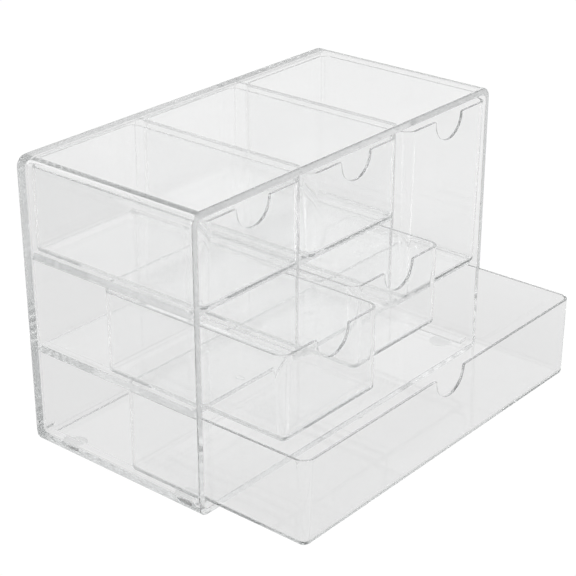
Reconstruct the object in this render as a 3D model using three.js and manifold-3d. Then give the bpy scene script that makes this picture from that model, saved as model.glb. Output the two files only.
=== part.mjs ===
import * as THREE from 'three';
import { mergeVertices } from 'three/addons/utils/BufferGeometryUtils.js';
import Module from 'manifold-3d';

const wasm = await Module();
wasm.setup();

// A clear desktop organizer: an open-fronted housing with two shelves and two dividers, and six
// drawers that slide out of it on low runners. Lengths are in millimetres. X runs from left to
// right, Y from front to back and Z up. The parts are laid out round the middle of the base's
// underside, and the finished organizer is then moved so that the origin lies on the desk, in
// the middle of all that it covers with its drawers drawn out.

// Housing
const housingWidth = 303.6;
const housingDepth = 150.3;
const housingHeight = 204.4;
const wall = 4.8;                   // sides, back, top and base
const outerRadius = 8.2;            // rounding of the long edges, seen from the front
const backRounding = 3;             // rounding round the back, on the outside
const backFillet = 3.2;             // and on the inside
const rimRounding = 1.2;            // rounding round the open front, on the outside

// Shelves and dividers
const shelfThickness = 2.8;
const dividerThickness = 3;
const bottomCellHeight = 64.4;      // from the base up to the lower shelf
const middleCellHeight = 63.1;      // from the lower shelf up to the upper one
const frontRecess = 6;              // how far shelves, dividers and runners stay behind the front edge
const cornerEase = 0.5;             // how much rounder their back corners are than the fillets they meet
const bondLine = 0.1;               // cement between two bonded pieces
const lapShare = 0.5;               // how deep the upper shelf is slotted for the divider that crosses it

// Runners: low rails along each cell's sides, which the drawers slide on
const runnerWidth = 7.5;
const runnerHeight = 2.4;           // on the shelves
const baseRunnerHeight = 4.2;
const runnerDraft = 0.4;            // how much narrower a runner's top is
const runnerLead = 4;               // ramp at a runner's front end
const runnerLeadDrop = 1.5;         // how far that ramp falls

// Drawers
const drawerWall = 2;
const drawerFloor = 2;
const drawerSideClearance = 2.4;    // to each side of the cell, at the rim
const bottomSideClearance = 0.8;    // the same for the wide drawer
const sidePlay = 1.5;               // how far each drawer lies off the middle of its cell
const rideGap = 0.3;                // from the runners to a drawer's underside
const rimClearance = 1.9;           // over a small drawer's rim, in the lower of the two upper rows
const bottomRimClearance = 0.6;
const tallRimClearance = 3.2;
const homeGap = 1;                  // from a drawer that is pushed home to the back
const homeProud = 1.5;              // how far its front then stands out of the housing's front edge
const drawerSlope = 0.0167;         // moulding draft of the drawers' walls
const rimCornerRadius = 8;
const baseCornerRadius = 5.2;
const drawerEdgeRadius = 2.7;       // rounding round a drawer's underside
const drawerFilletRadius = 2.2;     // fillet round its floor
const notchRadius = 14.8;           // finger notch
const notchShoulderRadius = 1.6;
const gateRadius = 3;               // moulding gate under a drawer's middle
const gateHeight = 0.5;

// How far each drawer is drawn out of its home position
const closedPull = 0.8;
const bottomPull = 78.4;
const midLeftPull = 61.9;
const midMiddlePull = 36.5;

// Feet
const footRadius = 8;
const footHeight = 0.7;
const footSoftening = 0.3;          // rounding of a foot's lower edge
const footSideInset = 15;
const footFrontInset = 22;
const footBackInset = 26;

const overrun = 2;                  // how far a cut runs past what it cuts
const columnCount = 3;
const arcSteps = 6;                 // facets in a quarter of a rounded corner
const edgeSteps = 4;                // facets across a rounded edge
const padSteps = 2;                 // facets across a foot's softened edge
const padSides = 28;
const gateSides = 20;
const leastRounding = 0.2;          // no moulded corner is sharper than this

// Sizes worked out from those above
const left = -housingWidth / 2;
const front = -housingDepth / 2;
const back = housingDepth / 2;
const innerLeft = left + wall;
const innerBack = back - wall;
const innerWidth = housingWidth - 2 * wall;
const innerRadius = outerRadius - wall;
const cellWidth = (innerWidth - (columnCount - 1) * dividerThickness) / columnCount;
const cellPitch = cellWidth + dividerThickness;
const panelFront = front + frontRecess;
const panelBack = innerBack - bondLine;
const panelCornerRadius = backFillet + cornerEase;

const baseTop = wall;
const ceiling = housingHeight - wall;
const lowerShelfBottom = baseTop + bottomCellHeight;
const lowerShelfTop = lowerShelfBottom + shelfThickness;
const upperShelfBottom = lowerShelfTop + middleCellHeight;
const upperShelfTop = upperShelfBottom + shelfThickness;
const lapY = panelFront + lapShare * (panelBack - panelFront);

const homeFront = front - homeProud;
const drawerDepth = innerBack - homeGap - homeFront;
const smallDrawerWidth = cellWidth - 2 * drawerSideClearance;
const bottomDrawerWidth = innerWidth - 2 * bottomSideClearance;
const baseRide = baseTop + baseRunnerHeight + rideGap;
const lowerRide = lowerShelfTop + runnerHeight + rideGap;
const upperRide = upperShelfTop + runnerHeight + rideGap;
const topRowRoom = ceiling - upperRide;
const middleRowRoom = upperShelfBottom - lowerRide;
const smallDrawerHeight = Math.min(topRowRoom, middleRowRoom) - rimClearance;
const tallDrawerHeight = ceiling - lowerRide - tallRimClearance;
const bottomDrawerHeight = lowerShelfBottom - baseRide - bottomRimClearance;
const drawnOutFront = homeFront - Math.max(closedPull, bottomPull, midLeftPull, midMiddlePull);

// The left side of a column's cell, counted from 0 at the left.
function cellLeft(column) {
  return innerLeft + column * cellPitch;
}

// Materials

function clearPlastic(color, roughness, opacity) {
  return new THREE.MeshStandardMaterial({ color, roughness, metalness: 0, transparent: true, opacity });
}

const housingPlastic = clearPlastic(0xeef1f2, 0.04, 0.3);
const drawerPlastic = clearPlastic(0xe9edef, 0.06, 0.35);
const footSilicone = clearPlastic(0xe6e8e8, 0.35, 0.5);

// Solids

function solidOf(geometry) {
  const bare = geometry.index ? geometry.toNonIndexed() : geometry.clone();
  bare.deleteAttribute('normal');
  bare.deleteAttribute('uv');
  const merged = mergeVertices(bare);
  return new wasm.Manifold(new wasm.Mesh({
    numProp: 3,
    vertProperties: merged.attributes.position.array,
    triVerts: new Uint32Array(merged.index.array),
  }));
}

function geometryOf(solid) {
  const mesh = solid.getMesh();
  const geometry = new THREE.BufferGeometry();
  geometry.setAttribute('position', new THREE.BufferAttribute(mesh.vertProperties, 3));
  geometry.setIndex(new THREE.BufferAttribute(mesh.triVerts, 1));
  geometry.computeVertexNormals();
  return geometry;
}

function namedMesh(name, geometry, material) {
  const mesh = new THREE.Mesh(geometry, material);
  mesh.name = name;
  return mesh;
}

function boxBetween(low, high) {
  const size = new THREE.Vector3().subVectors(high, low);
  const middle = new THREE.Vector3().addVectors(low, high).multiplyScalar(0.5);
  return new THREE.BoxGeometry(size.x, size.y, size.z).translate(middle.x, middle.y, middle.z);
}

// Points round a rounded rectangle at one height, anticlockwise from above.
function roundedRing(halfWidth, halfDepth, cornerRadius, z) {
  const radius = Math.max(cornerRadius, leastRounding);
  const ring = [];
  for (let corner = 0; corner < 4; corner += 1) {
    const sideX = corner === 0 || corner === 3 ? 1 : -1;
    const sideY = corner < 2 ? 1 : -1;
    for (let step = 0; step <= arcSteps; step += 1) {
      const angle = (corner + step / arcSteps) * Math.PI / 2;
      const x = sideX * (halfWidth - radius) + radius * Math.cos(angle);
      const y = sideY * (halfDepth - radius) + radius * Math.sin(angle);
      ring.push(new THREE.Vector3(x, y, z));
    }
  }
  return ring;
}

// Triangles that close a level ring.
function capOf(ring) {
  const outline = ring.map((point) => new THREE.Vector2(point.x, point.y));
  return THREE.ShapeUtils.triangulateShape(outline, []);
}

// A closed loft through rings that have the same number of points, stacked upwards.
function loft(rings) {
  const count = rings[0].length;
  const positions = [];
  const index = [];
  rings.forEach((ring) => ring.forEach((point) => positions.push(point.x, point.y, point.z)));
  for (let level = 0; level < rings.length - 1; level += 1) {
    for (let i = 0; i < count; i += 1) {
      const next = (i + 1) % count;
      const low = level * count;
      const high = low + count;
      index.push(low + i, low + next, high + next);
      index.push(low + i, high + next, high + i);
    }
  }
  capOf(rings[0]).forEach(([a, b, c]) => index.push(a, c, b));
  const lid = (rings.length - 1) * count;
  capOf(rings[rings.length - 1]).forEach(([a, b, c]) => index.push(lid + a, lid + b, lid + c));
  const geometry = new THREE.BufferGeometry();
  geometry.setAttribute('position', new THREE.Float32BufferAttribute(positions, 3));
  geometry.setIndex(index);
  return geometry;
}

// Where a rounded edge of one radius has got to: how far in it is, and how far along, at each facet.
function edgeRounding(radius) {
  const steps = [];
  for (let step = 0; step <= edgeSteps; step += 1) {
    const angle = (step / edgeSteps) * Math.PI / 2;
    steps.push({ inset: radius * (1 - Math.sin(angle)), rise: radius * (1 - Math.cos(angle)) });
  }
  return steps;
}

// Housing: a rounded box with an open front

// A box with rounded long edges that runs from front to back and is rounded round its two ends.
function roundedTunnel(width, height, frontY, backY, radius, frontEdge, backEdge, middleZ) {
  const depth = backY - frontY;
  const rings = edgeRounding(frontEdge).map(
    ({ inset, rise }) => roundedRing(width / 2 - inset, height / 2 - inset, radius - inset, rise));
  edgeRounding(backEdge).reverse().forEach(({ inset, rise }) => {
    rings.push(roundedRing(width / 2 - inset, height / 2 - inset, radius - inset, depth - rise));
  });
  return loft(rings).rotateX(-Math.PI / 2).translate(0, frontY, middleZ);
}

// One runner, rooted in its panel by the sink, with a short ramp at its front end.
function runner(x0, x1, floorZ, height, sink, backY) {
  const section = new THREE.Shape();
  section.moveTo(x0, -sink);
  section.lineTo(x1, -sink);
  section.lineTo(x1, 0);
  section.lineTo(x1 - runnerDraft, height);
  section.lineTo(x0 + runnerDraft, height);
  section.lineTo(x0, 0);
  const rail = new THREE.ExtrudeGeometry(section, { depth: backY - panelFront, bevelEnabled: false });
  rail.rotateX(Math.PI / 2).translate(0, backY, floorZ);
  const ramp = new THREE.Shape();
  ramp.moveTo(-overrun, height - runnerLeadDrop - overrun * runnerLeadDrop / runnerLead);
  ramp.lineTo(runnerLead, height);
  ramp.lineTo(runnerLead, height + overrun);
  ramp.lineTo(-overrun, height + overrun);
  const wedge = new THREE.ExtrudeGeometry(ramp, { depth: x1 - x0 + 2 * overrun, bevelEnabled: false });
  wedge.rotateX(Math.PI / 2).rotateZ(Math.PI / 2).translate(x0 - overrun, panelFront, floorZ);
  return solidOf(rail).subtract(solidOf(wedge));
}

// Both runners of a cell, clear of the bonded panels beside it.
function cellRunners(cellStart, width, floorZ, height, sink, sideGap, backY) {
  const leftRunner = runner(cellStart + sideGap, cellStart + runnerWidth, floorZ, height, sink, backY);
  const cellEnd = cellStart + width;
  return leftRunner.add(
    runner(cellEnd - runnerWidth, cellEnd - sideGap, floorZ, height, sink, backY));
}

function housingShell() {
  const middleZ = housingHeight / 2;
  const innerHeight = housingHeight - 2 * wall;
  const outside = solidOf(roundedTunnel(
    housingWidth, housingHeight, front, back, outerRadius, rimRounding, backRounding, middleZ));
  const hollow = solidOf(roundedTunnel(
    innerWidth, innerHeight, front - 2 * overrun, innerBack, innerRadius, overrun / 2, backFillet, middleZ));
  const sink = wall / 2;
  const runners = cellRunners(
    innerLeft, innerWidth, baseTop, baseRunnerHeight, sink, -sink, innerBack + sink);
  return outside.subtract(hollow).add(runners);
}

// Shelves: flat panels with runners along each cell

// A level panel whose chosen back corners are rounded to clear the housing's fillets.
function shelfPanel(x0, x1, bottomZ, leftCorner, rightCorner) {
  const plan = new THREE.Shape();
  plan.moveTo(x0, panelFront);
  plan.lineTo(x1, panelFront);
  plan.lineTo(x1, panelBack - rightCorner);
  if (rightCorner > 0) {
    plan.absarc(x1 - rightCorner, panelBack - rightCorner, rightCorner, 0, Math.PI / 2, false);
  }
  plan.lineTo(x0 + leftCorner, panelBack);
  if (leftCorner > 0) {
    plan.absarc(x0 + leftCorner, panelBack - leftCorner, leftCorner, Math.PI / 2, Math.PI, false);
  }
  const options = { depth: shelfThickness, bevelEnabled: false, curveSegments: edgeSteps };
  return solidOf(new THREE.ExtrudeGeometry(plan, options).translate(0, 0, bottomZ));
}

function shelfWithRunners(x0, x1, bottomZ, leftCorner, rightCorner, columns) {
  let shelf = shelfPanel(x0, x1, bottomZ, leftCorner, rightCorner);
  const topZ = bottomZ + shelfThickness;
  const runnerBack = panelBack - panelCornerRadius;
  for (let column = 0; column < columns; column += 1) {
    const start = cellLeft(column);
    shelf = shelf.add(cellRunners(
      start, cellWidth, topZ, runnerHeight, shelfThickness / 2, bondLine, runnerBack));
  }
  return shelf;
}

function lowerShelf() {
  const x0 = innerLeft + bondLine;
  return shelfWithRunners(x0, -x0, lowerShelfBottom, panelCornerRadius, panelCornerRadius, columnCount);
}

// The upper shelf spans the first two columns and is slotted from the front for the divider between them.
function upperShelf() {
  const rightEnd = cellLeft(2) - dividerThickness - bondLine;
  const shelf = shelfWithRunners(innerLeft + bondLine, rightEnd, upperShelfBottom, panelCornerRadius, 0, 2);
  const slotRight = cellLeft(1) + bondLine;
  const slotLeft = cellLeft(1) - dividerThickness - bondLine;
  const slot = boxBetween(
    new THREE.Vector3(slotLeft, panelFront - overrun, upperShelfBottom - overrun),
    new THREE.Vector3(slotRight, lapY, upperShelfTop + overrun));
  return shelf.subtract(solidOf(slot));
}

// Dividers: upright panels between the lower shelf and the top

function dividerPanel(column) {
  const bottomZ = lowerShelfTop + bondLine;
  const topZ = ceiling - bondLine;
  const cornerY = panelBack - panelCornerRadius;
  const cornerZ = topZ - panelCornerRadius;
  const side = new THREE.Shape();
  side.moveTo(panelFront, bottomZ);
  side.lineTo(panelBack, bottomZ);
  side.lineTo(panelBack, cornerZ);
  side.absarc(cornerY, cornerZ, panelCornerRadius, 0, Math.PI / 2, false);
  side.lineTo(panelFront, topZ);
  const options = { depth: dividerThickness, bevelEnabled: false, curveSegments: edgeSteps };
  const panel = new THREE.ExtrudeGeometry(side, options);
  panel.rotateX(Math.PI / 2).rotateZ(Math.PI / 2);
  return panel.translate(cellLeft(column) - dividerThickness, 0, 0);
}

// The left divider is slotted from the back, and the upper shelf passes through it there.
function leftDivider() {
  const right = cellLeft(1);
  const slot = boxBetween(
    new THREE.Vector3(right - dividerThickness - overrun, lapY - bondLine, upperShelfBottom - bondLine),
    new THREE.Vector3(right + overrun, panelBack + overrun, upperShelfTop + bondLine));
  return solidOf(dividerPanel(1)).subtract(solidOf(slot));
}

// Drawers: tapered moulded trays with a finger notch in the front wall

// The finger notch seen from the front, with its shoulders rounded into the rim, which is at zero.
function notchOutline() {
  const reach = notchRadius + notchShoulderRadius;
  const outline = new THREE.Shape();
  outline.moveTo(-reach, overrun);
  outline.lineTo(-reach, 0);
  outline.absarc(-reach, -notchShoulderRadius, notchShoulderRadius, Math.PI / 2, 0, true);
  outline.absarc(0, -notchShoulderRadius, notchRadius, Math.PI, 2 * Math.PI, false);
  outline.absarc(reach, -notchShoulderRadius, notchShoulderRadius, Math.PI, Math.PI / 2, true);
  outline.lineTo(reach, overrun);
  return outline;
}

// A drawer stands on zero, with its middle on the Z axis.
function drawerGeometry(width, height) {
  const ring = (z, inset) => {
    const taper = drawerSlope * (height - z);
    const radius = baseCornerRadius + (rimCornerRadius - baseCornerRadius) * z / height;
    return roundedRing(width / 2 - taper - inset, drawerDepth / 2 - taper - inset, radius - inset, z);
  };
  const outerRings = edgeRounding(drawerEdgeRadius).map(({ inset, rise }) => ring(rise, inset));
  outerRings.push(ring(height, 0));
  const innerRings = edgeRounding(drawerFilletRadius).map(
    ({ inset, rise }) => ring(drawerFloor + rise, drawerWall + inset));
  innerRings.push(ring(height + overrun, drawerWall));

  const notchDepth = drawerWall + overrun + overrun;
  const notch = new THREE.ExtrudeGeometry(notchOutline(), { depth: notchDepth, bevelEnabled: false });
  notch.rotateX(Math.PI / 2).translate(0, notchDepth - overrun - drawerDepth / 2, height);

  const gate = new THREE.CylinderGeometry(gateRadius, gateRadius, gateHeight + drawerFloor / 2, gateSides);
  gate.rotateX(Math.PI / 2).translate(0, 0, (drawerFloor / 2 - gateHeight) / 2);

  const tray = solidOf(loft(outerRings)).subtract(solidOf(loft(innerRings)));
  return geometryOf(tray.subtract(solidOf(notch)).add(solidOf(gate)));
}

function drawer(name, geometry, middleX, rideZ, pull) {
  const mesh = namedMesh(name, geometry, drawerPlastic);
  const homeY = homeFront + drawerDepth / 2;
  mesh.position.set(middleX, homeY - pull, rideZ);
  return mesh;
}

function drawers() {
  const smallDrawer = drawerGeometry(smallDrawerWidth, smallDrawerHeight);
  const tallDrawer = drawerGeometry(smallDrawerWidth, tallDrawerHeight);
  const bottomDrawer = drawerGeometry(bottomDrawerWidth, bottomDrawerHeight);
  const leftX = cellLeft(0) + cellWidth / 2 - sidePlay;
  const middleX = cellLeft(1) + cellWidth / 2 - sidePlay;
  const rightX = cellLeft(2) + cellWidth / 2 + sidePlay;
  const group = new THREE.Group();
  group.add(
    drawer('drawer_top_left', smallDrawer, leftX, upperRide, closedPull),
    drawer('drawer_top_middle', smallDrawer, middleX, upperRide, closedPull),
    drawer('drawer_mid_left', smallDrawer, leftX, lowerRide, midLeftPull),
    drawer('drawer_mid_middle', smallDrawer, middleX, lowerRide, midMiddlePull),
    drawer('drawer_tall_right', tallDrawer, rightX, lowerRide, closedPull),
    drawer('drawer_bottom_wide', bottomDrawer, 0, baseRide, bottomPull),
  );
  return group;
}

// Feet: soft clear pads under the base

function footPad() {
  const half = Math.PI / 2;
  const profile = new THREE.Path();
  profile.moveTo(0, -footHeight);
  profile.lineTo(footRadius - footSoftening, -footHeight);
  profile.absarc(footRadius - footSoftening, footSoftening - footHeight, footSoftening, -half, 0, false);
  profile.lineTo(footRadius, -bondLine);
  profile.lineTo(0, -bondLine);
  const points = profile.getPoints(padSteps);
  return geometryOf(solidOf(new THREE.LatheGeometry(points, padSides).rotateX(half)));
}

function feet() {
  const pad = footPad();
  const group = new THREE.Group();
  [['left', -1], ['right', 1]].forEach(([sideName, side]) => {
    const x = side * (housingWidth / 2 - footSideInset);
    [['front', front + footFrontInset], ['rear', back - footBackInset]].forEach(([endName, y]) => {
      const foot = namedMesh(`foot_${endName}_${sideName}`, pad, footSilicone);
      foot.position.set(x, y, 0);
      group.add(foot);
    });
  });
  return group;
}

const housing = new THREE.Group();
housing.add(
  namedMesh('housing_shell', geometryOf(housingShell()), housingPlastic),
  namedMesh('lower_shelf', geometryOf(lowerShelf()), housingPlastic),
  namedMesh('upper_shelf', geometryOf(upperShelf()), housingPlastic),
  namedMesh('divider_left', geometryOf(leftDivider()), housingPlastic),
  namedMesh('divider_right', dividerPanel(2), housingPlastic),
  feet(),
);

const organizer = new THREE.Group();
organizer.add(housing, drawers());
organizer.position.set(0, -(back + drawnOutFront) / 2, footHeight);

export default organizer;
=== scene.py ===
import math

import bmesh
import bpy
from mathutils import Euler, Matrix, Vector


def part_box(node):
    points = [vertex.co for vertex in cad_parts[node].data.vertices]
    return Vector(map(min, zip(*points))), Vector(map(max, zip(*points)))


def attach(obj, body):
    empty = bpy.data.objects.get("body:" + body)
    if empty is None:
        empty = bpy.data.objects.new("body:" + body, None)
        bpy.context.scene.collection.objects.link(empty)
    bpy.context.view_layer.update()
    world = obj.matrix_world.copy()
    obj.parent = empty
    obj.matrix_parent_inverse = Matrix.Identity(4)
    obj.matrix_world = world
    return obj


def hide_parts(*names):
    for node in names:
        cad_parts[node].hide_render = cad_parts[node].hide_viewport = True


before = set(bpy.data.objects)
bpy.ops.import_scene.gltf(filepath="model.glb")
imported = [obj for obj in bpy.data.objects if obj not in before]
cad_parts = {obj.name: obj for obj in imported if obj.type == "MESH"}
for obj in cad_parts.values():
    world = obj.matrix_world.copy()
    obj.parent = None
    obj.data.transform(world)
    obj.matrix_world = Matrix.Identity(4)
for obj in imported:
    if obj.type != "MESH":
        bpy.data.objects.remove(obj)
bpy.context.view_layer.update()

mm = 0.001  # sizes in the dictionaries are in millimetres, and in the studio's in metres
quarter = math.pi / 2
leastRadius = 0.2  # an inset corner never gets sharper than this
weldDistance = 0.002

# Helpers for meshes


def linkObject(name, mesh):
    item = bpy.data.objects.new(name, mesh)
    bpy.context.scene.collection.objects.link(item)
    return item


def meshFromPoints(name, points, faces):  # points in millimetres
    mesh = bpy.data.meshes.new(name)
    mesh.from_pydata([Vector(p) * mm for p in points], [], faces)
    shape = bmesh.new()
    shape.from_mesh(mesh)
    bmesh.ops.remove_doubles(shape, verts=shape.verts, dist=weldDistance * mm)
    bmesh.ops.recalc_face_normals(shape, faces=shape.faces)
    shape.to_mesh(mesh)
    shape.free()
    return mesh


def applyModifiers(item):  # the finished mesh takes the place of the stack
    graph = bpy.context.evaluated_depsgraph_get()
    mesh = bpy.data.meshes.new_from_object(item.evaluated_get(graph))
    item.modifiers.clear()
    item.data = mesh
    return item


def polishNormals(item, sharpAngle=35):  # flats stay flat and small roundings shade smoothly
    item.data.shade_smooth()
    item.data.set_sharp_from_angle(angle=math.radians(sharpAngle))
    weighted = item.modifiers.new("weighted", "WEIGHTED_NORMAL")
    weighted.keep_sharp = True
    weighted.weight = 100
    return applyModifiers(item)


def bridgeRings(rings, capStart=True, capEnd=True):  # closed rings with equal counts
    count = len(rings[0])
    points = [p for ring in rings for p in ring]
    faces = []
    for level in range(len(rings) - 1):
        low = level * count
        for i in range(count):
            j = (i + 1) % count
            faces.append((low + i, low + j, low + count + j, low + count + i))
    if capStart:
        faces.append(tuple(range(count)))
    if capEnd:
        faces.append(tuple(range(len(points) - count, len(points))))
    return points, faces


# Materials

filmLook = {"waveDetail": 1.0, "hazeDetail": 3.0, "hazeFrom": 0.35, "hazeTo": 0.65, "bumpDistance": 1.0}


def mouldedSurfaceGroup():  # faint unevenness of a moulded or polished surface
    group = bpy.data.node_groups.new("mouldedSurface", "ShaderNodeTree")
    face = group.interface
    for name, value in (("Wave Scale", 30.0), ("Wave Strength", 0.1), ("Haze Scale", 60.0),
                        ("Roughness Low", 0.0), ("Roughness High", 0.05)):
        socket = face.new_socket(name, in_out="INPUT", socket_type="NodeSocketFloat")
        socket.default_value = value
    face.new_socket("Roughness", in_out="OUTPUT", socket_type="NodeSocketFloat")
    face.new_socket("Height", in_out="OUTPUT", socket_type="NodeSocketFloat")
    nodes, links = group.nodes, group.links
    inputs = nodes.new("NodeGroupInput")
    outputs = nodes.new("NodeGroupOutput")
    place = nodes.new("ShaderNodeTexCoord")
    wave = nodes.new("ShaderNodeTexNoise")
    wave.inputs["Detail"].default_value = filmLook["waveDetail"]
    haze = nodes.new("ShaderNodeTexNoise")
    haze.inputs["Detail"].default_value = filmLook["hazeDetail"]
    spread = nodes.new("ShaderNodeMapRange")
    spread.inputs["From Min"].default_value = filmLook["hazeFrom"]
    spread.inputs["From Max"].default_value = filmLook["hazeTo"]
    lift = nodes.new("ShaderNodeMath")
    lift.operation = "MULTIPLY"
    links.new(place.outputs["Object"], wave.inputs["Vector"])
    links.new(place.outputs["Object"], haze.inputs["Vector"])
    links.new(inputs.outputs["Wave Scale"], wave.inputs["Scale"])
    links.new(inputs.outputs["Haze Scale"], haze.inputs["Scale"])
    links.new(haze.outputs["Fac"], spread.inputs["Value"])
    links.new(inputs.outputs["Roughness Low"], spread.inputs["To Min"])
    links.new(inputs.outputs["Roughness High"], spread.inputs["To Max"])
    links.new(wave.outputs["Fac"], lift.inputs[0])
    links.new(inputs.outputs["Wave Strength"], lift.inputs[1])
    links.new(spread.outputs["Result"], outputs.inputs["Roughness"])
    links.new(lift.outputs["Value"], outputs.inputs["Height"])
    return group


mouldedSurface = mouldedSurfaceGroup()

plasticLooks = {
    "housingPlastic": {
        "tint": (0.998, 0.999, 0.999), "ior": 1.50, "absorb": (0.918, 0.922, 0.922), "density": 10.0,
        "surface": {"Wave Scale": 9.0, "Wave Strength": 0.25, "Haze Scale": 35.0,
                    "Roughness Low": 0.03, "Roughness High": 0.06},
        "bump": 0.006,
    },
    "drawerPlastic": {
        "tint": (0.998, 0.999, 0.999), "ior": 1.57, "absorb": (0.91, 0.915, 0.915), "density": 10.0,
        "surface": {"Wave Scale": 14.0, "Wave Strength": 0.35, "Haze Scale": 45.0,
                    "Roughness Low": 0.03, "Roughness High": 0.06},
        "bump": 0.02,
    },
    "padSilicone": {
        "tint": (0.96, 0.965, 0.965), "ior": 1.43, "absorb": (0.75, 0.77, 0.77), "density": 60.0,
        "surface": {"Wave Scale": 90.0, "Wave Strength": 0.5, "Haze Scale": 160.0,
                    "Roughness Low": 0.35, "Roughness High": 0.50},
        "bump": 0.06,
    },
}


def clearMaterial(name):
    look = plasticLooks[name]
    material = bpy.data.materials.new(name)
    material.use_nodes = True
    nodes, links = material.node_tree.nodes, material.node_tree.links
    nodes.clear()
    out = nodes.new("ShaderNodeOutputMaterial")
    plastic = nodes.new("ShaderNodeBsdfPrincipled")
    plastic.inputs["Base Color"].default_value = (*look["tint"], 1.0)
    plastic.inputs["IOR"].default_value = look["ior"]
    plastic.inputs["Transmission Weight"].default_value = 1.0
    film = nodes.new("ShaderNodeGroup")
    film.node_tree = mouldedSurface
    for socket, value in look["surface"].items():
        film.inputs[socket].default_value = value
    bump = nodes.new("ShaderNodeBump")
    bump.inputs["Strength"].default_value = look["bump"]
    bump.inputs["Distance"].default_value = filmLook["bumpDistance"] * mm
    links.new(film.outputs["Height"], bump.inputs["Height"])
    links.new(bump.outputs["Normal"], plastic.inputs["Normal"])
    links.new(film.outputs["Roughness"], plastic.inputs["Roughness"])
    links.new(plastic.outputs["BSDF"], out.inputs["Surface"])
    body = nodes.new("ShaderNodeVolumeAbsorption")
    body.inputs["Color"].default_value = (*look["absorb"], 1.0)
    body.inputs["Density"].default_value = look["density"]
    links.new(body.outputs["Volume"], out.inputs["Volume"])
    return material


materials = {name: clearMaterial(name) for name in plasticLooks}
print("materials made")


# Drawers: tapered trays with a rolled rim that dips round the finger notch

drawerLook = {
    "wall": 2.0, "floor": 2.0, "slope": 0.0167,
    "rimCorner": 8.0, "baseCorner": 5.2, "edgeRadius": 2.7, "filletRadius": 2.2,
    "rimRounding": 0.5, "notchRadius": 14.8, "notchShoulder": 1.6,
    "gateRadius": 3.0, "gateHeight": 0.5, "gateRounding": 0.25,
    "cornerSteps": 14, "edgeSteps": 8, "rimSteps": 4, "notchSteps": 36, "shoulderSteps": 6,
}


def drawerStations(look):  # where the wall's columns stand, anticlockwise from above
    stations = []
    for corner in range(4):
        signX = 1 if corner in (0, 3) else -1
        signY = 1 if corner < 2 else -1
        if corner == 3:
            stations += notchStations(look)
        for step in range(look["cornerSteps"] + 1):
            angle = (corner + step / look["cornerSteps"]) * quarter
            stations.append({"sign": (signX, signY), "out": (math.cos(angle), math.sin(angle)),
                             "x": None, "dip": 0.0, "rimNormal": (0.0, 1.0)})
    return stations


def notchStations(look):  # the rim's path round the finger notch, from left to right
    big, small = look["notchRadius"], look["notchShoulder"]
    reach = big + small
    path = []
    for step in range(look["shoulderSteps"]):
        angle = quarter * (1 - step / look["shoulderSteps"])
        path.append((-reach + small * math.cos(angle), -small + small * math.sin(angle),
                     (math.cos(angle), math.sin(angle))))
    for step in range(look["notchSteps"] + 1):
        angle = math.pi * (1 + step / look["notchSteps"])
        path.append((big * math.cos(angle), -small + big * math.sin(angle),
                     (-math.cos(angle), -math.sin(angle))))
    mirrored = [(-x, z, (-n[0], n[1])) for x, z, n in reversed(path[:look["shoulderSteps"]])]
    return [{"sign": (0, -1), "out": (0.0, -1.0), "x": x, "dip": z, "rimNormal": n}
            for x, z, n in path + mirrored]


def drawerMesh(name, low, high):
    look = drawerLook
    width, depth = high[0] - low[0], high[1] - low[1]
    height = high[2] - low[2] - look["gateHeight"]
    middle = Vector(((low[0] + high[0]) / 2, (low[1] + high[1]) / 2, low[2] + look["gateHeight"]))
    stations = drawerStations(look)

    def wallPoint(station, z, inset):
        taper = look["slope"] * (height - z) + inset
        radius = look["baseCorner"] + (look["rimCorner"] - look["baseCorner"]) * z / height - inset
        radius = max(radius, leastRadius)
        signX, signY = station["sign"]
        y = signY * (depth / 2 - taper - radius) + station["out"][1] * radius
        if station["x"] is not None:
            return Vector((station["x"], y, z))
        return Vector((signX * (width / 2 - taper - radius) + station["out"][0] * radius, y, z))

    def levelRing(z, inset):
        return [wallPoint(s, z, inset) for s in stations]

    def gateRing(radius, z):
        around = levelRing(0.0, look["edgeRadius"])
        return [Vector((p.x, p.y, 0.0)).normalized() * radius + Vector((0, 0, z)) for p in around]

    rings = [gateRing(look["gateRadius"] - look["gateRounding"], -look["gateHeight"]),
             gateRing(look["gateRadius"], look["gateRounding"] - look["gateHeight"]),
             gateRing(look["gateRadius"], 0.0)]
    for step in range(look["edgeSteps"] + 1):
        angle = quarter * step / look["edgeSteps"]
        rings.append(levelRing(look["edgeRadius"] * (1 - math.cos(angle)),
                               look["edgeRadius"] * (1 - math.sin(angle))))
    rings += rimRings(look, stations, height, wallPoint)
    for step in range(look["edgeSteps"] + 1):
        angle = quarter * (1 - step / look["edgeSteps"])
        rings.append(levelRing(look["floor"] + look["filletRadius"] * (1 - math.cos(angle)),
                               look["wall"] + look["filletRadius"] * (1 - math.sin(angle))))
    points, faces = bridgeRings(rings)
    return meshFromPoints(name, [p + middle for p in points], faces)


def rimRings(look, stations, height, wallPoint):  # over the rim from the outer wall to the inner one
    rounding = look["rimRounding"]
    profile = []
    for step in range(look["rimSteps"] + 1):
        angle = quarter * step / look["rimSteps"]
        profile.append((rounding * (1 - math.cos(angle)), rounding * (1 - math.sin(angle))))
    rings = []
    for across, down in profile + [(look["wall"] - a, d) for a, d in reversed(profile)]:
        ring = []
        for station in stations:
            rimX, rimZ = station["rimNormal"]
            z = height + station["dip"]
            outer = wallPoint(station, z, 0.0)
            inner = wallPoint(station, z, look["wall"])
            point = outer.lerp(inner, across / look["wall"])
            ring.append(point - Vector((rimX, 0.0, rimZ)) * down)
        rings.append(ring)
    return rings


def makeDrawer(name, node, body):
    low, high = (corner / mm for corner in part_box(node))
    item = linkObject(name, drawerMesh(name, low, high))
    item.data.materials.append(materials["drawerPlastic"])
    polishNormals(item)
    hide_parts(node)
    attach(item, body)


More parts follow.
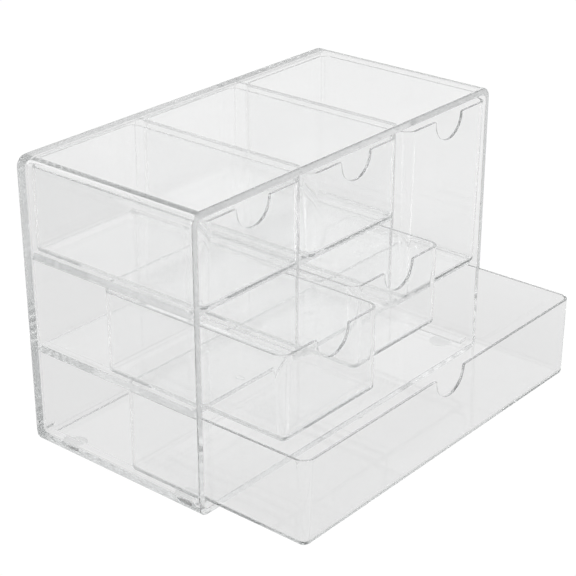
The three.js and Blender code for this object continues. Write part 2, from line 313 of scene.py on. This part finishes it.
for place in ("top_left", "top_middle", "mid_left", "mid_middle", "tall_right", "bottom_wide"):
    makeDrawer("tray_" + place, "drawer_" + place, place)
print("drawers made")


# Housing: a moulded box with an open front and two runners on its base

housingLook = {
    "wall": 4.8, "outerRadius": 8.2, "backRounding": 3.0, "backFillet": 4.4,
    "rimOuter": 1.2, "rimInner": 0.45,
    "recess": 6.0, "runnerWidth": 7.5, "runnerHeight": 4.2, "runnerDraft": 0.4,
    "runnerLead": 4.0, "runnerLeadDrop": 1.5, "runnerRounding": 0.5, "rootRounding": 0.5,
    "cornerSteps": 12, "backSteps": 10, "rimSteps": 4, "runnerSteps": 4,
}


def housingMesh(name, low, high):
    look = housingLook
    halfWidth = (high[0] - low[0]) / 2
    base, height = low[2], high[2] - low[2]
    front, back = low[1], high[1]

    def section(y, inset, runner=0.0, fillet=0.0):  # one ring of the box, seen from the front
        side, floor, top = halfWidth - inset, inset, height - inset
        radius = max(look["outerRadius"] - inset, leastRadius)
        ring = []
        for signX, signZ in ((1, 1), (-1, 1), (-1, -1), (1, -1)):
            onFloor = signZ < 0
            root = look["rootRounding"] if onFloor and runner else radius
            deck = floor + runner if onFloor else 0.0
            arc = []
            for step in range(look["cornerSteps"] + 1):
                angle = quarter * step / look["cornerSteps"]
                x = side - root + root * math.cos(angle)
                if onFloor:
                    z = deck + root - root * math.sin(angle)
                else:
                    z = top - root + root * math.sin(angle)
                arc.append((signX * x, z))
            if onFloor:
                arc += [(signX * x, z) for x, z in runnerPath(side, floor, runner, fillet, radius)]
            if (signX, signZ) in ((-1, 1), (1, -1)):
                arc.reverse()
            ring += [Vector((x, y, base + z)) for x, z in arc]
        return ring

    def runnerPath(side, floor, runner, fillet, radius):  # from a runner's top down to the floor
        steps = look["runnerSteps"]
        reach = side - (look["runnerWidth"] + fillet)
        path = []
        if not runner:
            start, end = side - radius, reach - look["rootRounding"]
            for i in range(2 * steps + 2):
                path.append((start + (end - start) * (i + 1) / (2 * steps + 2), floor))
            return path
        topX = reach + look["runnerDraft"] * runner / look["runnerHeight"]
        bend = min(look["runnerRounding"], runner / 2)
        for i in range(steps + 1):
            angle = quarter * i / steps
            path.append((topX + bend - bend * math.sin(angle),
                         floor + runner - bend + bend * math.cos(angle)))
        for i in range(steps + 1):
            angle = quarter * i / steps
            path.append((reach - bend + bend * math.cos(angle), floor + bend - bend * math.sin(angle)))
        return path

    backOuter = look["backRounding"]
    innerBack = back - look["wall"]
    backInner = look["backFillet"]
    rings = []
    for step in range(look["backSteps"] + 1):
        angle = quarter * step / look["backSteps"]
        rings.append(section(back - backOuter * (1 - math.cos(angle)),
                             backOuter * (1 - math.sin(angle))))
    for step in range(look["rimSteps"] + 1):
        angle = quarter * step / look["rimSteps"]
        rings.append(section(front + look["rimOuter"] * (1 - math.sin(angle)),
                             look["rimOuter"] * (1 - math.cos(angle))))
    for step in range(look["rimSteps"] + 1):
        angle = quarter * (1 - step / look["rimSteps"])
        rings.append(section(front + look["rimInner"] * (1 - math.sin(angle)),
                             look["wall"] - look["rimInner"] * (1 - math.cos(angle))))
    start = front + look["recess"]
    rings.append(section(start, look["wall"]))
    rings.append(section(start, look["wall"], look["runnerHeight"] - look["runnerLeadDrop"]))
    rings.append(section(start + look["runnerLead"], look["wall"], look["runnerHeight"]))
    for step in range(look["backSteps"] + 1):
        angle = quarter * step / look["backSteps"]
        inset = backInner * (1 - math.cos(angle))
        y = innerBack - backInner * (1 - math.sin(angle))
        rings.append(section(y, look["wall"] + inset, look["runnerHeight"], inset))
    points, faces = bridgeRings(rings)
    return meshFromPoints(name, points, faces)


def makeHousing():
    low, high = (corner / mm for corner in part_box("housing_shell"))
    shell = linkObject("moulded_housing", housingMesh("moulded_housing", low, high))
    shell.data.materials.append(materials["housingPlastic"])
    polishNormals(shell)
    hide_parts("housing_shell")
    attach(shell, "housing")


makeHousing()
print("housing made")


# Shelves and dividers: the panels with softened edges

panelLook = {
    "softening": 0.35, "segments": 3, "bevelAngle": 30,
    "cement": 0.12, "bondReach": 0.02,
    "weld": 0.005, "flatAngle": 1,
}


def fillBonds(shape, directions):  # bonded ends grow by the cement, which is as clear as the panels
    for axis, sign in directions:
        end = max(sign * vertex.co[axis] for vertex in shape.verts)
        for vertex in shape.verts:
            if end - sign * vertex.co[axis] < panelLook["bondReach"] * mm:
                vertex.co[axis] += sign * panelLook["cement"] * mm


def softPanel(name, node, bonds):
    item = linkObject(name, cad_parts[node].data.copy())
    shape = bmesh.new()
    shape.from_mesh(item.data)
    bmesh.ops.remove_doubles(shape, verts=shape.verts, dist=panelLook["weld"] * mm)
    bmesh.ops.dissolve_limit(shape, angle_limit=math.radians(panelLook["flatAngle"]),
                             verts=shape.verts, edges=shape.edges)
    fillBonds(shape, bonds)
    shape.to_mesh(item.data)
    shape.free()
    bevel = item.modifiers.new("softening", "BEVEL")
    bevel.width = panelLook["softening"] * mm
    bevel.segments = panelLook["segments"]
    bevel.limit_method = "ANGLE"
    bevel.angle_limit = math.radians(panelLook["bevelAngle"])
    applyModifiers(item)
    item.data.materials.clear()
    item.data.materials.append(materials["housingPlastic"])
    polishNormals(item)
    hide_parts(node)
    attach(item, "housing")


for name, axis in (("lower_shelf", 0), ("upper_shelf", 0), ("divider_left", 2), ("divider_right", 2)):
    softPanel("panel_" + name, name, ((axis, -1), (axis, 1), (1, 1)))
print("shelves and dividers made")


# Feet: pads set out on a grid under the base

padLook = {
    "edge": 0.3, "sides": 48, "layers": 14, "sharpAngle": 40,
    "sink": 0.15,  # the pads' tops reach into the base, where the glue wets it
}


def padTree():
    tree = bpy.data.node_groups.new("padGrid", "GeometryNodeTree")
    tree.interface.new_socket("Geometry", in_out="OUTPUT", socket_type="NodeSocketGeometry")
    kinds = {name: "NodeSocketFloat" for name in ("Spacing X", "Spacing Y", "Radius", "Height", "Edge")}
    kinds["Centre"] = "NodeSocketVector"
    kinds["Material"] = "NodeSocketMaterial"
    sockets = {name: tree.interface.new_socket(name, in_out="INPUT", socket_type=kind).identifier
               for name, kind in kinds.items()}
    nodes, links = tree.nodes, tree.links
    given = nodes.new("NodeGroupInput").outputs
    out = nodes.new("NodeGroupOutput")

    def calculate(operation, a, b=None):
        node = nodes.new("ShaderNodeMath")
        node.operation = operation
        for socket, value in zip(node.inputs, (a, b)):
            if isinstance(value, (int, float)):
                socket.default_value = value
            elif value is not None:
                links.new(value, socket)
        return node.outputs[0]

    pad = nodes.new("GeometryNodeMeshCylinder")
    pad.inputs["Vertices"].default_value = padLook["sides"]
    pad.inputs["Side Segments"].default_value = padLook["layers"]
    links.new(given["Radius"], pad.inputs["Radius"])
    links.new(given["Height"], pad.inputs["Depth"])
    place = nodes.new("GeometryNodeInputPosition")
    parts = nodes.new("ShaderNodeSeparateXYZ")
    links.new(place.outputs[0], parts.inputs[0])
    above = calculate("ADD", parts.outputs["Z"], calculate("MULTIPLY", given["Height"], 0.5))
    share = calculate("DIVIDE", above, given["Edge"])
    drop = calculate("SUBTRACT", 1.0, calculate("MINIMUM", share, 1.0))
    level = calculate("SUBTRACT", 1.0, calculate("MULTIPLY", drop, drop))
    rise = calculate("SUBTRACT", 1.0, calculate("SQRT", level))
    inward = calculate("DIVIDE", calculate("MULTIPLY", rise, given["Edge"]), given["Radius"])
    shrink = calculate("SUBTRACT", 1.0, inward)
    joined = nodes.new("ShaderNodeCombineXYZ")
    links.new(calculate("MULTIPLY", parts.outputs["X"], shrink), joined.inputs["X"])
    links.new(calculate("MULTIPLY", parts.outputs["Y"], shrink), joined.inputs["Y"])
    links.new(parts.outputs["Z"], joined.inputs["Z"])
    rounded = nodes.new("GeometryNodeSetPosition")
    links.new(pad.outputs["Mesh"], rounded.inputs["Geometry"])
    links.new(joined.outputs[0], rounded.inputs["Position"])

    grid = nodes.new("GeometryNodeMeshGrid")
    grid.inputs["Vertices X"].default_value = 2
    grid.inputs["Vertices Y"].default_value = 2
    links.new(given["Spacing X"], grid.inputs["Size X"])
    links.new(given["Spacing Y"], grid.inputs["Size Y"])
    moved = nodes.new("GeometryNodeSetPosition")
    links.new(grid.outputs["Mesh"], moved.inputs["Geometry"])
    links.new(given["Centre"], moved.inputs["Offset"])
    copies = nodes.new("GeometryNodeInstanceOnPoints")
    links.new(moved.outputs["Geometry"], copies.inputs["Points"])
    links.new(rounded.outputs["Geometry"], copies.inputs["Instance"])
    real = nodes.new("GeometryNodeRealizeInstances")
    links.new(copies.outputs["Instances"], real.inputs["Geometry"])
    painted = nodes.new("GeometryNodeSetMaterial")
    links.new(real.outputs["Geometry"], painted.inputs["Geometry"])
    links.new(given["Material"], painted.inputs["Material"])
    links.new(painted.outputs["Geometry"], out.inputs["Geometry"])
    return tree, sockets


def makePads():
    lowest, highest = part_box("foot_front_left")
    highest.z += padLook["sink"] * mm
    radius, height = (highest.x - lowest.x) / 2, highest.z - lowest.z
    centre = (lowest + highest) / 2
    right = sum(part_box("foot_front_right"), Vector()) / 2
    rear = sum(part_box("foot_rear_left"), Vector()) / 2
    pads = linkObject("foot_pads", bpy.data.meshes.new("foot_pads"))
    tree, sockets = padTree()
    modifier = pads.modifiers.new("pads", "NODES")
    modifier.node_group = tree
    values = {"Spacing X": right.x - centre.x, "Spacing Y": rear.y - centre.y, "Radius": radius,
              "Height": height, "Edge": padLook["edge"] * mm, "Material": materials["padSilicone"],
              "Centre": ((centre.x + right.x) / 2, (centre.y + rear.y) / 2, centre.z)}
    for name, value in values.items():
        modifier[sockets[name]] = value
    applyModifiers(pads)
    polishNormals(pads, padLook["sharpAngle"])
    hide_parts("foot_front_left", "foot_front_right", "foot_rear_left", "foot_rear_right")
    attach(pads, "housing")


makePads()
print("feet made")


# Floor, light and camera

studioLook = {
    "floorSize": 8.0, "floorSeen": 1.02,
    "glowNear": 0.775, "glowFar": 0.87, "nearX": 0.1, "farX": 0.45,
    "skyLow": 0.72, "skyBright": 1.3, "skyOver": 1.0,
    "brightFrom": 0.42, "brightTo": 0.55, "overFrom": 0.95,
    "lamps": {"leftSoftbox": (-2.0, 0.5, 0.9), "frontSoftbox": (0.5, -2.1, 0.8)},
    "lampSize": (0.5, 1.1), "lampPower": 10, "lampAim": (0, 0, 0.1),
}

cameraLook = {
    "focal": 1649.4, "frame": 576, "principal": (285.4, 306.8),  # in pixels
    "sensor": 36.0, "clip": (0.05, 50.0),
    "place": (-0.7786, -0.6324, 0.5662),
    "down": 25.854, "turn": -49.907, "roll": -0.1103,  # in degrees
}


def makeFloor():  # a light table: white where it is seen, softer through the plastic and at the left
    half = studioLook["floorSize"] / 2
    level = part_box("foot_front_left")[0].z
    mesh = bpy.data.meshes.new("floor")
    corners = [(-half, -half, level), (half, -half, level), (half, half, level), (-half, half, level)]
    mesh.from_pydata(corners, [], [(0, 1, 2, 3)])
    floor = linkObject("floor", mesh)
    material = bpy.data.materials.new("lightTable")
    material.use_nodes = True
    nodes, links = material.node_tree.nodes, material.node_tree.links
    nodes.clear()
    out = nodes.new("ShaderNodeOutputMaterial")
    glow = nodes.new("ShaderNodeEmission")
    path = nodes.new("ShaderNodeLightPath")
    place = nodes.new("ShaderNodeTexCoord")
    parts = nodes.new("ShaderNodeSeparateXYZ")
    fade = nodes.new("ShaderNodeMapRange")
    fade.interpolation_type = "SMOOTHSTEP"
    for socket, value in (("From Min", "nearX"), ("From Max", "farX"),
                          ("To Min", "glowNear"), ("To Max", "glowFar")):
        fade.inputs[socket].default_value = studioLook[value]
    links.new(place.outputs["Object"], parts.inputs[0])
    links.new(parts.outputs["X"], fade.inputs["Value"])
    choice = nodes.new("ShaderNodeMapRange")
    choice.inputs["To Max"].default_value = studioLook["floorSeen"]
    links.new(fade.outputs["Result"], choice.inputs["To Min"])
    links.new(path.outputs["Is Camera Ray"], choice.inputs["Value"])
    links.new(choice.outputs["Result"], glow.inputs["Strength"])
    links.new(glow.outputs["Emission"], out.inputs["Surface"])
    mesh.materials.append(material)


def makeSky():  # grey near the floor, brightest part of the way up and less bright overhead
    world = bpy.data.worlds.new("studio")
    bpy.context.scene.world = world
    world.use_nodes = True
    nodes, links = world.node_tree.nodes, world.node_tree.links
    nodes.clear()
    out = nodes.new("ShaderNodeOutputWorld")
    glow = nodes.new("ShaderNodeBackground")
    place = nodes.new("ShaderNodeTexCoord")
    parts = nodes.new("ShaderNodeSeparateXYZ")
    links.new(place.outputs["Generated"], parts.inputs[0])

    def fade(start, end, fromValue, toValue):
        node = nodes.new("ShaderNodeMapRange")
        node.interpolation_type = "SMOOTHSTEP"
        for socket, value in (("From Min", start), ("From Max", end),
                              ("To Min", fromValue), ("To Max", toValue)):
            node.inputs[socket].default_value = value
        links.new(parts.outputs["Z"], node.inputs["Value"])
        return node.outputs["Result"]

    look = studioLook
    rising = fade(0.0, look["brightFrom"], look["skyLow"], look["skyBright"])
    falling = fade(look["brightTo"], look["overFrom"], 1.0, look["skyOver"] / look["skyBright"])
    both = nodes.new("ShaderNodeMath")
    both.operation = "MULTIPLY"
    links.new(rising, both.inputs[0])
    links.new(falling, both.inputs[1])
    links.new(both.outputs["Value"], glow.inputs["Strength"])
    links.new(glow.outputs["Background"], out.inputs["Surface"])


def makeLamp(name, place):
    lamp = bpy.data.lights.new(name, "AREA")
    lamp.shape = "RECTANGLE"
    lamp.size, lamp.size_y = studioLook["lampSize"]
    lamp.energy = studioLook["lampPower"]
    item = bpy.data.objects.new(name, lamp)
    bpy.context.scene.collection.objects.link(item)
    item.location = place
    towards = Vector(studioLook["lampAim"]) - Vector(place)
    item.rotation_euler = towards.to_track_quat("-Z", "Y").to_euler()
    item.visible_camera = False


def makeCamera():  # solved from the photograph's edges
    look = cameraLook
    camera = bpy.data.cameras.new("camera")
    camera.sensor_width = look["sensor"]
    camera.lens = look["focal"] / look["frame"] * camera.sensor_width
    camera.shift_x = 0.5 - look["principal"][0] / look["frame"]
    camera.shift_y = look["principal"][1] / look["frame"] - 0.5
    camera.clip_start, camera.clip_end = look["clip"]
    item = bpy.data.objects.new("camera", camera)
    bpy.context.scene.collection.objects.link(item)
    item.location = look["place"]
    aim = Euler((math.radians(90 - look["down"]), 0.0, math.radians(look["turn"]))).to_matrix()
    item.rotation_euler = (aim @ Matrix.Rotation(math.radians(look["roll"]), 3, "Z")).to_euler()
    bpy.context.scene.camera = item


makeFloor()
makeSky()
for name, place in studioLook["lamps"].items():
    makeLamp(name, place)
makeCamera()

scene = bpy.context.scene
scene.view_settings.view_transform = "Standard"
scene.cycles.use_denoising = True
scene.cycles.max_bounces = 200  # light runs a long way inside the walls
scene.cycles.transmission_bounces = 64
scene.cycles.glossy_bounces = 200
scene.cycles.transparent_max_bounces = 48
scene.cycles.caustics_reflective = True
scene.cycles.caustics_refractive = True
print("studio made")
